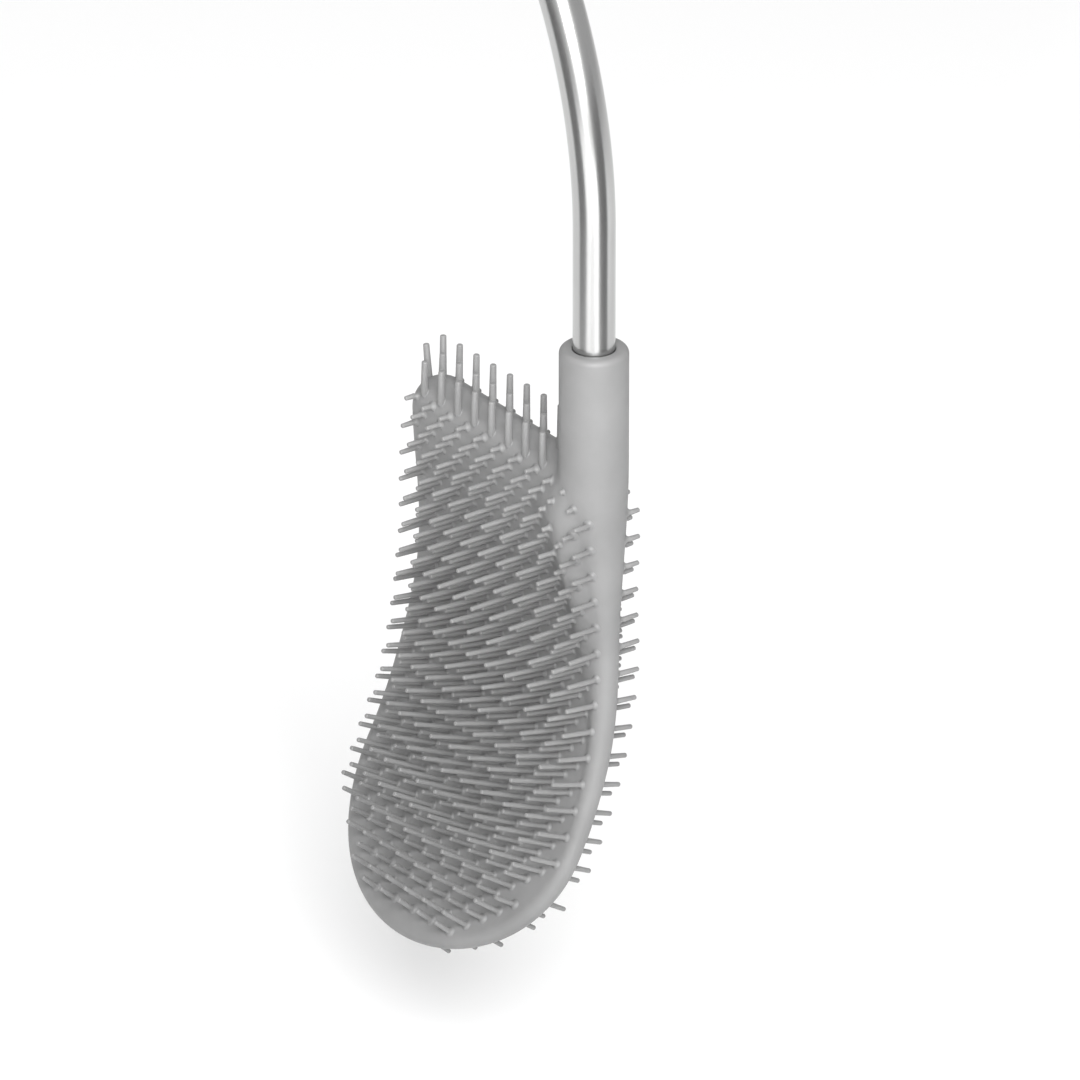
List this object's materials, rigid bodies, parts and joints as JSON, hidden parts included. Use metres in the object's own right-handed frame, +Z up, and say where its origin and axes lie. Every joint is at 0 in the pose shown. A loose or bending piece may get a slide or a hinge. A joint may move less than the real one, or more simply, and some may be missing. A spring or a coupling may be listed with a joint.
{
  "type": "toilet brush",
  "caption": "Toilet brush with a flexible curled paddle head, bristles on both faces and along its top edge, pushed onto an S-bent steel tube handle from the side spine.",
  "frame": {"origin": "on the handle's axis, halfway along its straight grip", "axes": "+Z up along the grip, +X across the paddle from its free edge to its spine, -Y the front face that the paddle curls towards"},
  "size_m": [0.0787, 0.0524, 0.4366],
  "materials": {
    "tube_steel": "satin, brushed around the tube",
    "pin_steel": "ground",
    "plug_plastic": "moulded matte",
    "seal_rubber": "matte",
    "core_plastic": "moulded matte",
    "head_rubber": "soft satin"
  },
  "bodies": {
    "handle": {"handle_tube": "tube_steel", "top_plug": "tube_steel", "end_plug": "plug_plastic", "plug_pin": "pin_steel", "upper_o_ring": "seal_rubber", "lower_o_ring": "seal_rubber"},
    "head": {"head_core": "core_plastic", "head_skin": "head_rubber", "front_bristles": "head_rubber", "back_bristles": "head_rubber", "rim_bristles": "head_rubber"}
  },
  "joints": [
    {"name": "head_pull_off", "type": "slide", "parent": "handle", "child": "head", "axis": [0, 0, -1], "range_m": [0, 0.04]}
  ]
}
